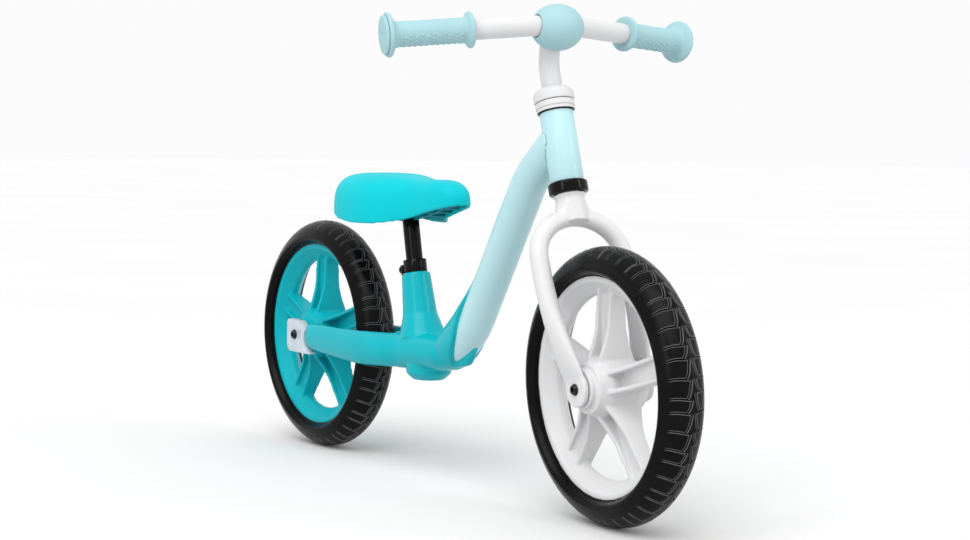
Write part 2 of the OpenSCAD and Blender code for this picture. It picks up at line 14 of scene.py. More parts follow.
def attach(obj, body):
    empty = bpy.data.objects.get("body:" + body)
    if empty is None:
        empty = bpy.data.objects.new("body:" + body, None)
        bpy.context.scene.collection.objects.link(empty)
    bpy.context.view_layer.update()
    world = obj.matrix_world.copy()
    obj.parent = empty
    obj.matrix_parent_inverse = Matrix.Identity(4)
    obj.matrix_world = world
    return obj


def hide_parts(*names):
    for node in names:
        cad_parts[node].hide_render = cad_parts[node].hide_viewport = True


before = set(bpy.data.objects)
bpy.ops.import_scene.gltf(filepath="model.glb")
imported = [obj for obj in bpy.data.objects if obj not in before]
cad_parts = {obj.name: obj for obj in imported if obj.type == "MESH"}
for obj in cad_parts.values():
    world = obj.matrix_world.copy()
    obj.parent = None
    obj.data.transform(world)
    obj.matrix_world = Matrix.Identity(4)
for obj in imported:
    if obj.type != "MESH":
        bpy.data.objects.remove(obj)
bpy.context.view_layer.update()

# ---------------------------------------------------------------- frames of reference

WHEEL_R = 145.0
AXLE_X = 300.0
LEAN = math.radians(17)
STEER = math.radians(-4)
AXLE_AHEAD = 19
AXIS_X = AXLE_X - AXLE_AHEAD / math.cos(LEAN)
SWEEP = math.radians(14.4)
BAR_AHEAD, BAR_HEIGHT, BAR_CORNER = 28.0, 381.0, 30.0


def rot(axis, a):
    return np.array(Matrix.Rotation(a, 3, axis))


# each frame of reference is a rotation and an origin
WORLD = (np.eye(3), np.zeros(3))
STEERING = (rot("Y", -LEAN), np.array([AXIS_X, 0, WHEEL_R]))
STEERED = (rot("Y", -LEAN) @ rot("Z", STEER), STEERING[1])
FRONT_AXLE = (
    STEERED[0] @ rot("Y", LEAN),
    STEERED[0] @ np.array([AXLE_AHEAD, 0, -AXLE_AHEAD * math.tan(LEAN)]) + STEERED[1],
)
REAR_AXLE = (np.eye(3), np.array([-AXLE_X, 0, WHEEL_R]))


def bar_frame(side):
    """The frame whose z runs outwards along one end of the bar, from its corner."""
    turn = STEERED[0] @ rot("Z", side * SWEEP) @ rot("X", -side * math.pi / 2)
    return turn, STEERED[0] @ np.array([BAR_AHEAD, side * BAR_CORNER, BAR_HEIGHT]) + STEERED[1]


def place(points, at):
    """Points of the frame at, in the object's frame."""
    return np.asarray(points, float) @ at[0].T + at[1]


# ---------------------------------------------------------------- meshes

def smooth(data, sharp=0):
    """Shades a mesh smooth, apart from edges sharper than an angle in degrees."""
    data.polygons.foreach_set("use_smooth", [True] * len(data.polygons))
    if sharp:
        data.set_sharp_from_angle(angle=math.radians(sharp))


def mesh(name, points, faces, sharp=0):
    """A mesh object from points in millimetres."""
    data = bpy.data.meshes.new(name)
    points = np.asarray(points, float) / 1000
    data.from_pydata([tuple(p) for p in points], [], [tuple(int(i) for i in f) for f in faces])
    data.validate()
    bm = bmesh.new()
    bm.from_mesh(data)
    bmesh.ops.recalc_face_normals(bm, faces=bm.faces)
    bm.to_mesh(data)
    bm.free()
    smooth(data, sharp)
    o = bpy.data.objects.new(name, data)
    bpy.context.scene.collection.objects.link(o)
    return o


def grid_faces(rows, cols, wrap_rows=False):
    """Quads over rows of points; each row closes on itself, and the last row may close on the first."""
    out = []
    for i in range(rows if wrap_rows else rows - 1):
        for j in range(cols):
            a, b = i * cols + j, i * cols + (j + 1) % cols
            c, d = ((i + 1) % rows) * cols + (j + 1) % cols, ((i + 1) % rows) * cols + j
            out.append((a, b, c, d))
    return out


def rounded(profile, radius, steps):
    """Rounds each corner of an (r, z) outline; the two ends stay."""
    p = [np.array(q, float) for q in profile]
    out = [p[0]]
    for a, b, c in zip(p, p[1:], p[2:]):
        u, v = a - b, c - b
        lu, lv = np.linalg.norm(u), np.linalg.norm(v)
        k = min(radius, lu * 0.45, lv * 0.45)
        s, e = b + u / lu * k, b + v / lv * k
        out += [(1 - t) ** 2 * s + 2 * t * (1 - t) * b + t * t * e for t in np.linspace(0, 1, steps + 1)]
    return np.array(out + [p[-1]])


def revolve(name, profile, at, n=64, sharp=0):
    """A loop of (radius, place along z) turned about z; a loop that starts on the axis closes there."""
    prof = np.asarray(profile, float)
    ang = np.linspace(0, 2 * math.pi, n, endpoint=False)
    pts = np.array([[r * math.cos(a), r * math.sin(a), z] for r, z in prof for a in ang])
    clear_of_axis = prof[0][0] > 1e-6
    o = mesh(name, place(pts, at), grid_faces(len(prof), n, wrap_rows=clear_of_axis))
    bm = bmesh.new()
    bm.from_mesh(o.data)
    bmesh.ops.remove_doubles(bm, verts=bm.verts, dist=1e-6)
    bmesh.ops.recalc_face_normals(bm, faces=bm.faces)
    bm.to_mesh(o.data)
    bm.free()
    smooth(o.data, sharp)
    return o


def rings(path, r, n):
    """Rings of n points round a path. Each starts towards y, or towards z if the path leaves along y."""
    way = np.gradient(path, axis=0)
    way /= np.linalg.norm(way, axis=1)[:, None]
    side = np.array([0, 0, 1.0]) if abs(way[0][1]) > 0.9 else np.array([0, 1.0, 0])
    ang = np.linspace(0, 2 * math.pi, n, endpoint=False)
    pts = []
    for c, t in zip(path, way):
        u = side - (side @ t) * t
        u /= np.linalg.norm(u)
        v = np.cross(t, u)
        pts += [c + r * (math.cos(a) * u + math.sin(a) * v) for a in ang]
    return np.array(pts)


def tube(name, path, r, at, n=40, wall=0.0):
    """A round bar along a path in the frame at, or a hollow tube if it has a wall."""
    path = np.asarray(path, float)
    pts = rings(path, r, n)
    faces = grid_faces(len(path), n)
    last = (len(path) - 1) * n
    if wall:
        k = len(pts)
        pts = np.vstack([pts, rings(path, r - wall, n)])
        faces += [tuple(k + i for i in f[::-1]) for f in faces]
        for j in range(n):
            faces.append((j, (j + 1) % n, k + (j + 1) % n, k + j))
            faces.append((last + j, last + (j + 1) % n, k + last + (j + 1) % n, k + last + j))
    else:
        faces += [tuple(range(n)), tuple(last + j for j in range(n))]
    return mesh(name, place(pts, at), faces, 45)


def join(name, objs):
    """Joins mesh objects that have no transform of their own into the first one."""
    bm = bmesh.new()
    for o in objs:
        bm.from_mesh(o.data)
    bm.to_mesh(objs[0].data)
    bm.free()
    for o in objs[1:]:
        bpy.data.objects.remove(o, do_unlink=True)
    objs[0].name = name
    smooth(objs[0].data)
    return objs[0]


def apply_modifiers(o):
    graph = bpy.context.evaluated_depsgraph_get()
    data = bpy.data.meshes.new_from_object(o.evaluated_get(graph))
    o.modifiers.clear()
    o.data = data


def copy_node(name, node):
    """A copy of a CAD node's mesh with its doubled points merged."""
    o = bpy.data.objects.new(name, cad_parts[node].data.copy())
    o.data.materials.clear()
    bpy.context.scene.collection.objects.link(o)
    bm = bmesh.new()
    bm.from_mesh(o.data)
    bmesh.ops.remove_doubles(bm, verts=bm.verts, dist=2e-6)
    bm.to_mesh(o.data)
    bm.free()
    return o


def relaxed(o, voxel, passes):
    """Remeshes an object and smooths it, which turns its inner corners into fillets."""
    remesh = o.modifiers.new("remesh", "REMESH")
    remesh.mode = "VOXEL"
    remesh.voxel_size = voxel
    remesh.use_smooth_shade = True
    relax = o.modifiers.new("relax", "SMOOTH")
    relax.factor = 0.5
    relax.iterations = passes
    apply_modifiers(o)
    smooth(o.data)
    return o


def recast(name, node, voxel, passes, extra=()):
    """The node's shape with moulded fillets, and with any extra closed meshes melted into it."""
    o = copy_node(name, node)
    if extra:
        join(name, [o, *extra])
    return relaxed(o, voxel, passes)


def eased(name, node, width):
    """The node's shape with small rounded edges."""
    o = copy_node(name, node)
    bevel = o.modifiers.new("bevel", "BEVEL")
    bevel.width = width
    bevel.segments = 2
    bevel.limit_method = "ANGLE"
    bevel.angle_limit = math.radians(35)
    bevel.harden_normals = True
    smooth(o.data)
    apply_modifiers(o)
    smooth(o.data, 40)
    return o


# ---------------------------------------------------------------- materials

def srgb(*levels):
    """A linear colour from levels of 0 to 255."""
    linear = []
    for level in levels:
        v = level / 255
        linear.append(v / 12.92 if v <= 0.04045 else ((v + 0.055) / 1.055) ** 2.4)
    return (*linear, 1.0)


class Nodes:
    """Short calls for building one material's node tree."""

    def __init__(self, name):
        self.material = bpy.data.materials.new(name)
        self.material.use_nodes = True
        self.tree = self.material.node_tree
        self.shader = self.tree.nodes["Principled BSDF"]
        self.coords = self.tree.nodes.new("ShaderNodeTexCoord").outputs["Object"]

    def add(self, kind, **values):
        n = self.tree.nodes.new(kind)
        for k, v in values.items():
            setattr(n, k, v)
        return n

    def link(self, a, b):
        self.tree.links.new(a, b)

    def noise(self, scale, detail=3.0, rough=0.5):
        n = self.add("ShaderNodeTexNoise")
        self.link(self.coords, n.inputs["Vector"])
        n.inputs["Scale"].default_value = scale
        n.inputs["Detail"].default_value = detail
        n.inputs["Roughness"].default_value = rough
        return n.outputs["Fac"]

    def ramp(self, fac, dark, light):
        r = self.add("ShaderNodeValToRGB")
        self.link(fac, r.inputs["Fac"])
        ends = r.color_ramp.elements
        ends[0].position, ends[1].position = 0.35, 0.65
        ends[0].color, ends[1].color = dark, light
        return r.outputs["Color"]

    def span(self, fac, lo, hi):
        m = self.add("ShaderNodeMapRange")
        self.link(fac, m.inputs["Value"])
        m.inputs["To Min"].default_value = lo
        m.inputs["To Max"].default_value = hi
        return m.outputs["Result"]

    def bump(self, height, strength, distance):
        b = self.add("ShaderNodeBump")
        b.inputs["Strength"].default_value = strength
        b.inputs["Distance"].default_value = distance
        self.link(height, b.inputs["Height"])
        self.link(b.outputs["Normal"], self.shader.inputs["Normal"])


def moulded(name, colour, rough, coat, vary, peel, grain, spec=0.5):
    """A moulded or painted surface: slight mottling, uneven gloss and a fine skin texture."""
    n = Nodes(name)
    dark = tuple(max(0, c * (1 - vary)) for c in colour[:3]) + (1,)
    light = tuple(min(1, c * (1 + vary)) for c in colour[:3]) + (1,)
    n.link(n.ramp(n.noise(18), dark, light), n.shader.inputs["Base Color"])
    n.link(n.span(n.noise(60, 4), rough * 0.85, rough * 1.15), n.shader.inputs["Roughness"])
    n.bump(n.noise(grain, 2), peel, 0.0003)
    n.shader.inputs["Coat Weight"].default_value = coat
    n.shader.inputs["Coat Roughness"].default_value = 0.08
    n.shader.inputs["Specular IOR Level"].default_value = spec
    return n.material


WHITE = srgb(200, 200, 201)
PALE = srgb(166, 203, 208)
SOFT = srgb(150, 186, 192)
TEAL = srgb(0, 160, 171)
SEAT = srgb(0, 178, 188)

# name, colour, roughness, coat, colour change, depth and scale of the skin texture, specular level
mats = {
    "white_paint": moulded("white_paint", WHITE, 0.32, 0.1, 0.01, 0.05, 700, 0.3),
    "white_plastic": moulded("white_plastic", WHITE, 0.42, 0.0, 0.01, 0.06, 900, 0.3),
    "pale_paint": moulded("pale_paint", PALE, 0.3, 0.15, 0.02, 0.05, 600, 0.3),
    "pale_rubber": moulded("pale_rubber", SOFT, 0.6, 0.0, 0.03, 0.15, 1400, 0.2),
    "teal_paint": moulded("teal_paint", TEAL, 0.24, 0.05, 0.02, 0.05, 500, 0.16),
    "teal_plastic": moulded("teal_plastic", TEAL, 0.4, 0.0, 0.025, 0.06, 800, 0.12),
    "saddle": moulded("saddle", SEAT, 0.5, 0.0, 0.015, 0.12, 1600, 0.1),
    # a darker copy of the saddle's teal: painted shade for the saddle's underside
    "saddle_painted_shade": moulded("saddle_painted_shade", srgb(0, 120, 132), 0.6, 0.0, 0.03, 0.1, 900, 0.1),
    "plate": moulded("plate", srgb(178, 187, 196), 0.35, 0.2, 0.02, 0.05, 700),
    "black_gloss": moulded("black_gloss", srgb(5, 5, 6), 0.13, 0.0, 0.05, 0.04, 500, 0.14),
    "black_bolt": moulded("black_bolt", srgb(5, 5, 5), 0.22, 0.0, 0.1, 0.05, 900, 0.25),
}


def steel():
    n = Nodes("steel")
    n.link(n.ramp(n.noise(40), (0.42, 0.42, 0.44, 1), (0.6, 0.6, 0.62, 1)), n.shader.inputs["Base Color"])
    n.shader.inputs["Metallic"].default_value = 1.0
    n.link(n.span(n.noise(300, 4), 0.22, 0.4), n.shader.inputs["Roughness"])
    n.bump(n.noise(1500, 2), 0.05, 0.0002)
    return n.material


def tyre_material():
    """Black foam, lightened along the tread's edges where a point attribute says so: a painted highlight."""
    n = Nodes("tyre_foam")
    edge = n.add("ShaderNodeAttribute", attribute_name="edge").outputs["Fac"]
    base = n.ramp(n.noise(45, 4), (0.002, 0.002, 0.0022, 1), (0.0035, 0.0035, 0.0038, 1))
    # the mix towards pale grey is a painted highlight along the tread's edges
    mix = n.add("ShaderNodeMix", data_type="RGBA")
    n.link(n.span(edge, 0.0, 0.85), mix.inputs["Factor"])
    n.link(base, mix.inputs["A"])
    mix.inputs["B"].default_value = (0.16, 0.16, 0.165, 1)
    n.link(mix.outputs["Result"], n.shader.inputs["Base Color"])
    n.link(n.span(n.noise(120, 5, 0.6), 0.22, 0.34), n.shader.inputs["Roughness"])
    n.shader.inputs["Specular IOR Level"].default_value = 0.08
    n.bump(n.noise(1100, 3), 0.1, 0.0004)
    return n.material


mats["steel"] = steel()
mats["tyre"] = tyre_material()

# ---------------------------------------------------------------- giving a piece its material and body


def use(o, mat, body, node):
    """Gives a new piece its material and body, and hides the CAD node it stands in for."""
    o.data.materials.clear()
    o.data.materials.append(mats[mat])
    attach(o, body)
    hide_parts(node)


def dress(mat, *nodes):
    """Gives CAD nodes that stay a better material."""
    for node in nodes:
        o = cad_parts[node]
        if not o.data.materials:
            o.data.materials.append(mats[mat])
        for s in o.material_slots:
            s.material = mats[mat]


# ---------------------------------------------------------------- camera, floor and light

RIGHT = Vector((0.55655, 0.83064, 0.01711))
UP = Vector((-0.0656, 0.0234, 0.99757))
FORWARD = Vector((-0.82822, 0.55632, -0.06751))
EYE = Vector((1.84617, -1.19757, 0.39524))
SENSOR = 36
FLOOR_HALF = 30000

cam = bpy.data.cameras.new("camera")
cam.sensor_width = SENSOR
cam.lens = SENSOR * 1908.5 / 970
cam.clip_start, cam.clip_end = 0.05, 60
cam_obj = bpy.data.objects.new("camera", cam)
bpy.context.scene.collection.objects.link(cam_obj)
cam_obj.matrix_world = Matrix(
    [[RIGHT[i], UP[i], -FORWARD[i], EYE[i]] for i in range(3)] + [[0, 0, 0, 1]]
)
bpy.context.scene.camera = cam_obj

corners = [(FLOOR_HALF * x, FLOOR_HALF * y, 0) for x, y in ((-1, -1), (1, -1), (1, 1), (-1, 1))]
floor = mesh("floor", corners, [(0, 1, 2, 3)])
floor_nodes = Nodes("floor_paper")
paper = floor_nodes.ramp(floor_nodes.noise(1.2, 2), (0.655, 0.655, 0.655, 1), (0.67, 0.67, 0.67, 1))
floor_nodes.link(paper, floor_nodes.shader.inputs["Base Color"])
floor_nodes.shader.inputs["Roughness"].default_value = 0.9
floor_nodes.shader.inputs["Specular IOR Level"].default_value = 0.1
floor.data.materials.append(floor_nodes.material)
floor.location.z = -0.0002

world = bpy.data.worlds.new("studio")
world.use_nodes = True
world.node_tree.nodes["Background"].inputs["Color"].default_value = (1, 1, 1, 1)
world.node_tree.nodes["Background"].inputs["Strength"].default_value = 0.97
bpy.context.scene.world = world
bpy.context.scene.view_settings.view_transform = "Standard"


STRIP_LENGTH = 1.6


def add_light(name, kind, power, way, spot=(0, 0, 0)):
    """A light at a spot that shines the way given."""
    light = bpy.data.lights.new(name, kind)
    light.energy = power
    o = bpy.data.objects.new(name, light)
    bpy.context.scene.collection.objects.link(o)
    o.location = spot
    o.rotation_euler = Vector(way).to_track_quat("-Z", "Y").to_euler()
    return light


def strip(name, spot, target, width, power):
    """A long soft box at a spot, aimed at a target."""
    light = add_light(name, "AREA", power, Vector(target) - Vector(spot), spot)
    light.shape = "RECTANGLE"
    light.size, light.size_y = width, STRIP_LENGTH


sun = add_light("sky_panel", "SUN", 1.9, (-0.3, 0.42, -0.83))
sun.angle = math.radians(50)
strip("strip_left", (0.9, -2.3, 1.3), (0.0, 0, 0.25), 0.35, 9)
strip("strip_right", (2.3, 1.6, 1.2), (0.2, 0, 0.25), 0.3, 11)

# ---------------------------------------------------------------- tyres


# the outer skin follows half an oval across the tyre; s is the arc length from its crown
SKIN_DEEP, SKIN_HALF = 34, 28
SKIN_ANGLES = np.linspace(0, math.radians(68), 200)
step = np.hypot(SKIN_DEEP * np.sin(SKIN_ANGLES), SKIN_HALF * np.cos(SKIN_ANGLES))
SKIN_ARC = np.concatenate([[0], np.cumsum((step[1:] + step[:-1]) / 2 * np.diff(SKIN_ANGLES))])

# the tread repeats 17 times round the wheel, with three cuts across each half in every repeat
PITCHES = 17
PITCH = 2 * math.pi * WHEEL_R / PITCHES
CUTS = [0.0, 14.0 / 53.6 * PITCH, 33.8 / 53.6 * PITCH]
CUT_SHIFT = {1: 12.2, -1: 44.5}
CUT_HALF = 1.0
CUT_DEPTH = 2.3
FADE_END, FADE = 25.4, 3.4
LIP = 3.4
LONGEST_STEP = 2.6
BLOCK_ROWS = [13.4, 16, 18.6, 21, 22.6, 24.2, 25.6, 30.5, 35.4]
# radius and half width of the smooth shoulder and of the inside that meets the rim
SHOULDER = [(123.2, 26.1), (121.0, 25.6), (119.4, 23.8), (118.3, 21.6), (116.9, 19.6), (116.6, 17.0)]
INSIDE = [(116.6, 13.4), (107.4, 11.4)]


def on_skin(s, depth, highlight_share, v):
    """Radius, place across, place along and share of painted highlight of a point sunk to a depth under the
    skin.
    """
    a = np.interp(np.abs(s), SKIN_ARC, SKIN_ANGLES)
    side = np.sign(s) if s else 1.0
    rho, y = WHEEL_R - SKIN_DEEP + SKIN_DEEP * math.cos(a), SKIN_HALF * math.sin(a) * side
    out = np.array([SKIN_HALF * math.cos(a), SKIN_DEEP * math.sin(a) * side])
    out = out / np.linalg.norm(out)
    return rho - depth * out[0], y - depth * out[1], v, highlight_share


def side_cuts(side):
    return sorted((c + CUT_SHIFT[side]) % PITCH for c in CUTS)


def places_round():
    """Places along the crown, close together at the edges of the cuts."""
    marks = set()
    for c in side_cuts(1) + side_cuts(-1):
        for d in (-CUT_HALF - 0.75, -CUT_HALF, -CUT_HALF + 0.45, CUT_HALF - 0.45, CUT_HALF, CUT_HALF + 0.75):
            marks.add(round((c + d) % PITCH, 4))
    marks = sorted(marks)
    fill = []
    for a, b in zip(marks, marks[1:] + [marks[0] + PITCH]):
        k = int((b - a) // LONGEST_STEP)
        fill += [a] + [a + (b - a) * (i + 1) / (k + 1) for i in range(k)]
    return np.array([p * PITCH + c for p in range(PITCHES) for c in fill])


def nearest_cut(side, v):
    """Distance to the nearest cut, place along the block from 0 to 1, and the block's length."""
    cuts = side_cuts(side)
    edges = [cuts[-1] - PITCH] + cuts + [cuts[0] + PITCH]
    v = v % PITCH
    a, b = next((a, b) for a, b in zip(edges, edges[1:]) if a <= v < b)
    return min(v - a, b - v), (v - a) / (b - a), b - a


def tread_column(side, v):
    """Points from the crown to the shoulder at one place along the tread, each as on_skin takes it."""
    near, along, length = nearest_cut(side, v)
    zigzag = along if near > CUT_HALF else (1 - near / CUT_HALF) * 0.5 + along * near / CUT_HALF
    start = (7.4 if side > 0 else 6.2) - 3.5 * zigzag + 3.4 * math.exp(-along * length / 2.6)
    in_cut = near <= CUT_HALF - 0.4
    at_cut_edge = abs(near - CUT_HALF) < 0.02
    # each point's third value is its share of painted highlight, 1 where the tread's edges should look lit
    # the centre band and the groove beside it: its edge is point 2, its floor is points 3 and 4
    points = [((start - LIP) / 2, 0.0, 0.0), (start - LIP, 0.0, 0.0), (start - 2.6, 0.0, 1.0)]
    points += [(start - 2.2, CUT_DEPTH, 0.0), (start - 0.4, CUT_DEPTH, 0.0)]
    for k, s in enumerate([start, start + 0.8, start + 2.2] + BLOCK_ROWS):
        fade = min(1.0, max(0.0, (FADE_END - s) / FADE))
        depth = CUT_DEPTH * fade if in_cut else 0.0
        # painted highlight along the edges of the cuts and at the inner end of each block
        highlight_share = fade if at_cut_edge else 0.0
        if k == 0 and not in_cut:
            highlight_share = 1.0
        points.append((s, depth, highlight_share))
    column = []
    for s, depth, highlight_share in points:
        bend = 1.2 * math.sin(min(1.0, max(0.0, (s - 6) / 20)) * math.pi)
        column.append((s * side, depth, highlight_share, v + bend))
    return column


def tyre(name, at):
    """A tyre whose section is swept round y, with its tread cut in."""
    u = places_round()
    right = [tread_column(1, v) for v in u]
    left = [tread_column(-1, v) for v in u]
    per_side = len(right[0])
    rows = [[(r, y, v, 0.0) for v in u] for r, y in INSIDE + SHOULDER[::-1]]
    rows += [[on_skin(*column[k]) for column in right] for k in range(per_side - 1, -1, -1)]
    rows.append([on_skin(0.0, 0.0, 0.0, v) for v in u])
    rows += [[on_skin(*column[k]) for column in left] for k in range(per_side)]
    rows += [[(r, -y, v, 0.0) for v in u] for r, y in SHOULDER + INSIDE[::-1]]
    points, marks = [], []
    for row in rows:
        for rho, y, v, highlight_share in row:
            angle = v / WHEEL_R
            points.append((rho * math.cos(angle), y, rho * math.sin(angle)))
            marks.append(highlight_share)
    o = mesh(name, place(points, at), grid_faces(len(rows), len(u), wrap_rows=True), 38)
    # the painted highlight is kept on the points for the tyre material to read
    o.data.attributes.new("edge", "FLOAT", "POINT").data.foreach_set("value", marks)
    return o


use(tyre("front_tyre_tread", FRONT_AXLE), "tyre", "front_wheel", "front_tyre")
use(tyre("rear_tyre_tread", REAR_AXLE), "tyre", "rear_wheel", "rear_tyre")

# ---------------------------------------------------------------- moulded pieces

# loops of (radius, place across the wheel)
RIM_LOOP = [
    (106.8, -11.5), (115.0, -13.4), (115.6, -14.2), (115.6, -15.5), (114.6, -16.2), (109.4, -15.8),
    (107.8, -14.2), (97.0, -3.6), (96.4, -1.6), (96.4, 1.6), (97.0, 3.6), (107.8, 14.2), (109.4, 15.8),
    (114.6, 16.2), (115.6, 15.5), (115.6, 14.2), (115.0, 13.4), (106.8, 11.5),
]
HUB_LOOP = [
    (9, -27), (9, 27), (14, 27), (14, 36.5), (21, 36.5), (21, 30), (26, 30), (31, 15.5), (31, -15.5),
    (26, -30), (21, -30), (21, -36.5), (14, -36.5), (14, -27),
]
# outlines of a spoke's ribs and of the web between them: distance from the axle, place across
RIB = [
    (20, -22.5), (30, -21), (44, -15.5), (60, -11.2), (105, -8), (105, 8), (60, 11.2), (44, 15.5), (30, 21),
    (20, 22.5),
]
WEB = [(16, -9.2), (105, -11), (105, 11), (16, 9.2)]
SPOKES = 5
RIB_HALF, RIB_AWAY, RIB_TAPER = 2.4, 9.2, 1.2
WEB_HALF = 4


def prism(outline, half):
    """Points and faces of a slab: an outline in the first two axes, half thick to each side in the third."""
    n = len(outline)
    pts = [(a, b, z) for z in (-half, half) for a, b in outline]
    faces = [tuple(range(n - 1, -1, -1)), tuple(range(n, 2 * n))]
    faces += [(i, (i + 1) % n, n + (i + 1) % n, n + i) for i in range(n)]
    return np.array(pts, float), faces


def rim(name, at):
    """Rim, hub and five double-ribbed spokes, with the wheel's axis along y."""
    turn = (at[0] @ rot("X", -math.pi / 2), at[1])
    parts = [revolve(name, RIM_LOOP, turn, 180), revolve(name + "_hub", HUB_LOOP, turn, 96)]
    for i in range(SPOKES):
        out = (at[0] @ rot("Y", -math.radians(90 + 360 / SPOKES * i)), at[1])
        for side in (1, -1):
            pts, faces = prism(RIB, RIB_HALF)
            pts = pts @ rot("Y", -math.radians(side * RIB_TAPER)).T + np.array([0, 0, side * RIB_AWAY])
            parts.append(mesh("rib", place(pts, out), faces))
        pts, faces = prism(WEB, WEB_HALF)
        pts = np.column_stack([pts[:, 0], pts[:, 2], pts[:, 1]])
        parts.append(mesh("web", place(pts, out), faces))
    return relaxed(join(name, parts), 0.0012, 3)


# the main tube's foot: a bend between a low and a steep straight part, as its CAD node has it
BEND_R = 105
LOW, STEEP = math.radians(20.4), math.radians(58.4)
BEND_END = (51.2, 195.1)
FILLER_R = 19.1


def main_path(start, end):
    """Points up the main tube's foot, from start before its bend to end after it."""
    centre = np.array([BEND_END[0] - BEND_R * math.sin(STEEP), 0, BEND_END[1] + BEND_R * math.cos(STEEP)])

    def on_bend(a):
        return centre + BEND_R * np.array([math.sin(a), 0, -math.cos(a)])

    def ahead(a):
        return np.array([math.cos(a), 0, math.sin(a)])

    pts = [on_bend(LOW) - t * ahead(LOW) for t in np.linspace(start, 2, 4)]
    pts += [on_bend(a) for a in np.linspace(LOW, STEEP, 16)]
    pts += [on_bend(STEEP) + t * ahead(STEEP) for t in np.linspace(5, end, 8)]
    return np.array(pts)


# ovals that blend the fork's crown into its neck: height on the steering axis, half sizes, shift ahead
NECK = (
    (172, 9.5, 24, 1.2), (177, 10.5, 26, 1), (183, 12.5, 22.5, 0.6), (188, 14.4, 18.6, 0.2),
    (194, 16, 16.6, 0),
)


def neck_fillet():
    n = 40
    turns = np.linspace(0, 2 * math.pi, n, endpoint=False)
    pts = [(x + a * math.cos(t), b * math.sin(t), z) for z, a, b, x in NECK for t in turns]
    last = (len(NECK) - 1) * n
    faces = grid_faces(len(NECK), n) + [tuple(range(n)), tuple(last + j for j in range(n))]
    return mesh("neck_fillet", place(pts, STEERED), faces)


use(rim("front_rim_moulding", FRONT_AXLE), "white_plastic", "front_wheel", "front_rim")
use(rim("rear_rim_moulding", REAR_AXLE), "teal_plastic", "rear_wheel", "rear_rim")
foot_filler = tube("foot_filler", main_path(1, 46), FILLER_R, WORLD, 64)
use(
    recast("rear_frame_moulding", "rear_frame", 0.0015, 8, extra=[foot_filler]),
    "teal_paint", "frame", "rear_frame",
)
use(
    recast("fork_moulding", "fork", 0.0012, 10, extra=[neck_fillet()]),
    "white_paint", "fork", "fork",
)
use(recast("main_tube_skin", "main_tube", 0.0012, 3), "pale_paint", "frame", "main_tube")
use(eased("head_tube_skin", "head_tube", 0.0005), "pale_paint", "frame", "head_tube")
use(eased("plate_left", "axle_plate_left", 0.0008), "plate", "frame", "axle_plate_left")
use(eased("plate_right", "axle_plate_right", 0.0008), "plate", "frame", "axle_plate_right")

# ---------------------------------------------------------------- handlebar

BAR_HALF_WIDTH = 183
BAR_END = (BAR_HALF_WIDTH - BAR_CORNER) / math.cos(SWEEP)
BAR_BEND = 60
STEM_BEND, STEM_FOOT = 48, 252


def bar_path():
    lead = BAR_BEND * math.tan(SWEEP / 2)
    end = []
    for a in np.linspace(0, SWEEP, 9):
        x = BAR_AHEAD - BAR_BEND + BAR_BEND * math.cos(a)
        end.append([x, BAR_CORNER - lead + BAR_BEND * math.sin(a), BAR_HEIGHT])
    for t in np.linspace(lead, BAR_END, 12)[1:]:
        end.append([BAR_AHEAD - math.sin(SWEEP) * t, BAR_CORNER + math.cos(SWEEP) * t, BAR_HEIGHT])
    other_end = [[x, -y, z] for x, y, z in end[::-1]]
    return np.array(other_end + [[BAR_AHEAD, y, BAR_HEIGHT] for y in (-12, 0, 12)] + end)


def stem_path():
    top = BAR_HEIGHT - STEM_BEND * math.sin(math.radians(65))
    straight = [[0, 0, s] for s in np.linspace(STEM_FOOT, top, 12)]
    arc = []
    for a in np.radians(np.linspace(0, 50, 20))[1:]:
        arc.append([STEM_BEND * (1 - math.cos(a)), 0, top + STEM_BEND * math.sin(a)])
    return np.array(straight + arc)


use(
    tube("handlebar_tube", bar_path(), 11.1, STEERED, 48, 2.0),
    "white_paint", "handlebar", "handlebar",
)
use(
    tube("stem_tube", stem_path(), 11.25, STEERED, 48, 2.6),
    "white_paint", "handlebar", "stem",
)
use(recast("bar_pad_shell", "bar_pad", 0.0009, 4), "pale_rubber", "handlebar", "bar_pad")

GRIP_LOOP = [
    (11.2, 67), (17.4, 67), (19.2, 68.4), (19.2, 71.2), (17.2, 72.6), (14.2, 74.4), (13.3, 77.5),
    (13.1, 112), (13.3, 147), (14.6, 151.4), (19.6, 153.6), (22.6, 155), (23.4, 156.8), (23.4, 158.4),
    (22.2, 159.5), (11.2, 159.5),
]
GRIP_R = 13.15
DOT_ROWS, DOT_COLUMNS, DOT_SIDES = 11, 5, 12
DOT_HALF_WIDTH, DOT_HALF_LENGTH = 1.75, 1.9
# share of a dot's size, and height above the grip, of its three rings
DOT_RINGS = ((1.0, -0.35), (0.92, 0.3), (0.6, 0.62))


def squared(value):
    """Pushes a cosine or sine outwards, which makes a circle squarer."""
    return math.copysign(abs(value) ** 0.6, value)


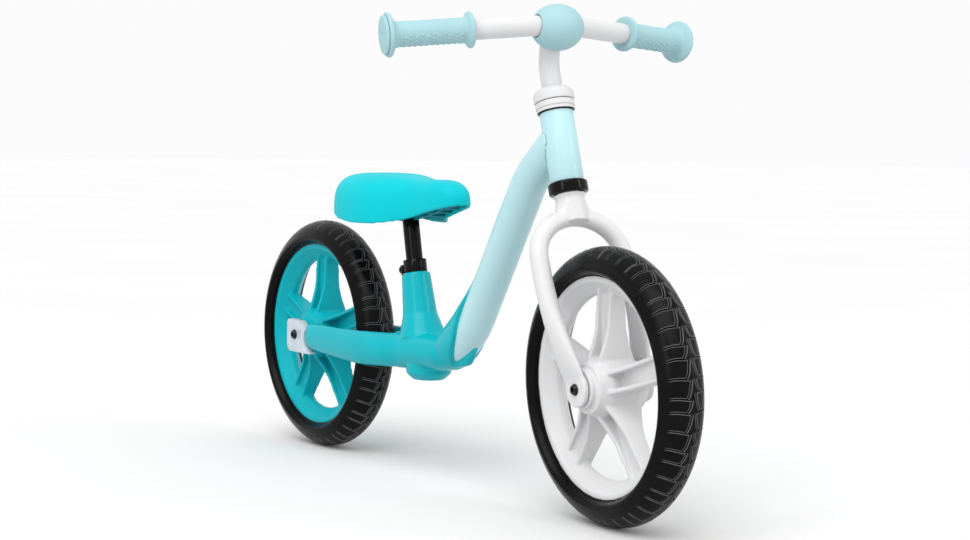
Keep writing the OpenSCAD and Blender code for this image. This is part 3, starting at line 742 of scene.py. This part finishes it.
def grip(name, side):
    """A flanged sleeve with rows of small square dots under it."""
    at = bar_frame(side)
    parts = [revolve(name, rounded(GRIP_LOOP, 1.4, 4), at, 80, 50)]
    dots, faces = [], []
    for row, column in ((i, j) for i in range(DOT_ROWS) for j in range(DOT_COLUMNS)):
        angle = math.radians(180 + 17 * (column - 2) + (8.5 if row % 2 else 0))
        z = 80.5 + 6.1 * row
        k = len(dots)
        for share, height in DOT_RINGS:
            for q in range(DOT_SIDES):
                b = 2 * math.pi * q / DOT_SIDES
                u = DOT_HALF_WIDTH * share * squared(math.cos(b))
                v = DOT_HALF_LENGTH * share * squared(math.sin(b))
                dots.append((GRIP_R + height, angle + u / 13.2, z + v))
        dots.append((GRIP_R + 0.66, angle, z))
        faces += [tuple(k + i for i in face) for face in grid_faces(3, DOT_SIDES)]
        top = k + 2 * DOT_SIDES
        faces += [(top + q, top + (q + 1) % DOT_SIDES, top + DOT_SIDES) for q in range(DOT_SIDES)]
        faces.append(tuple(k + q for q in range(DOT_SIDES - 1, -1, -1)))
    # angle 0 of the bar's frame points ahead; the rows are centred 72 degrees below that
    r, angle, z = np.array(dots).T
    angle = angle + math.radians(-108 * side)
    pts = np.column_stack([r * np.cos(angle), r * np.sin(angle), z])
    parts.append(mesh(name + "_dots", place(pts, at), faces))
    return join(name, parts)


use(grip("grip_left_sleeve", 1), "pale_rubber", "handlebar", "grip_left")
use(grip("grip_right_sleeve", -1), "pale_rubber", "handlebar", "grip_right")


CAP_LOOP = [
    (0, 144), (9, 144), (9, 159.7), (20.6, 159.7), (20.8, 161.4), (19.4, 162.9), (10, 163.8), (3.4, 163.5),
    (2.2, 162.2), (0, 162),
]


def end_cap(name, side):
    return revolve(name, rounded(CAP_LOOP, 0.7, 3), bar_frame(side), 64, 45)


caps = join("bar_end_caps", [end_cap("cap_a", 1), end_cap("cap_b", -1)])
use(caps, "pale_rubber", "handlebar", "bar_end_plugs")

# ---------------------------------------------------------------- steering bearings and collar

COLLAR_LOOP = [
    (11.4, 306.1), (21.6, 306.1), (22.0, 307.4), (22.0, 313.6), (21.0, 316.6), (18.2, 319.4), (14.6, 321.2),
    (12.6, 321.8), (11.4, 321.8),
]
UPPER_LOOP = [
    (14.6, 294.1), (19.4, 294.1), (20.4, 295.0), (20.6, 298.0), (20.0, 298.4), (20.0, 298.8), (21.2, 299.3),
    (21.2, 304.6), (20.6, 305.4), (14.6, 305.4),
]
LOWER_LOOP = [(14.6, 204.7), (20.2, 204.7), (21.2, 206.0), (21.2, 215.4), (20.2, 216.9), (14.6, 216.9)]
BLACK_BAND_TOP = 295.3

collar = revolve("collar_cap", rounded(COLLAR_LOOP, 1.2, 4), STEERED, 72, 40)
use(collar, "white_plastic", "fork", "steering_collar")

upper = revolve("upper_ring", rounded(UPPER_LOOP, 0.5, 3), STEERING, 72, 40)
use(upper, "white_plastic", "frame", "upper_headset_cup")
upper.data.materials.append(mats["black_gloss"])
for poly in upper.data.polygons:
    height = ((np.array(poly.center) * 1000 - STEERING[1]) @ STEERING[0])[2]
    if height < BLACK_BAND_TOP:
        poly.material_index = 1

lower = revolve("lower_ring", rounded(LOWER_LOOP, 1.2, 5), STEERING, 72, 40)
use(lower, "black_gloss", "frame", "lower_headset_cup")

# ---------------------------------------------------------------- saddle and post

use(recast("saddle_skin", "saddle_shell", 0.0015, 10), "saddle", "seat", "saddle_shell")
# the saddle's base takes the darker teal copy, painted shade under the saddle
use(eased("saddle_core", "saddle_base", 0.0005), "saddle_painted_shade", "seat", "saddle_base")
use(eased("seat_clamp_ring", "seat_clamp", 0.0007), "black_gloss", "frame", "seat_clamp")
dress("black_gloss", "seat_post")
dress("black_bolt", "seat_clamp_bolt", "front_axle_bolts", "rear_axle_bolts")
dress(
    "steel", "rear_axle", "front_axle", "rear_axle_spacers", "front_axle_spacers", "saddle_bolts",
    "steerer_tube", "clamp_ring", "headset_outer_races", "headset_balls", "headset_inner_races",
    "rear_bearing_inner_races", "rear_bearing_outer_races", "rear_bearing_balls",
    "front_bearing_inner_races", "front_bearing_outer_races", "front_bearing_balls",
)
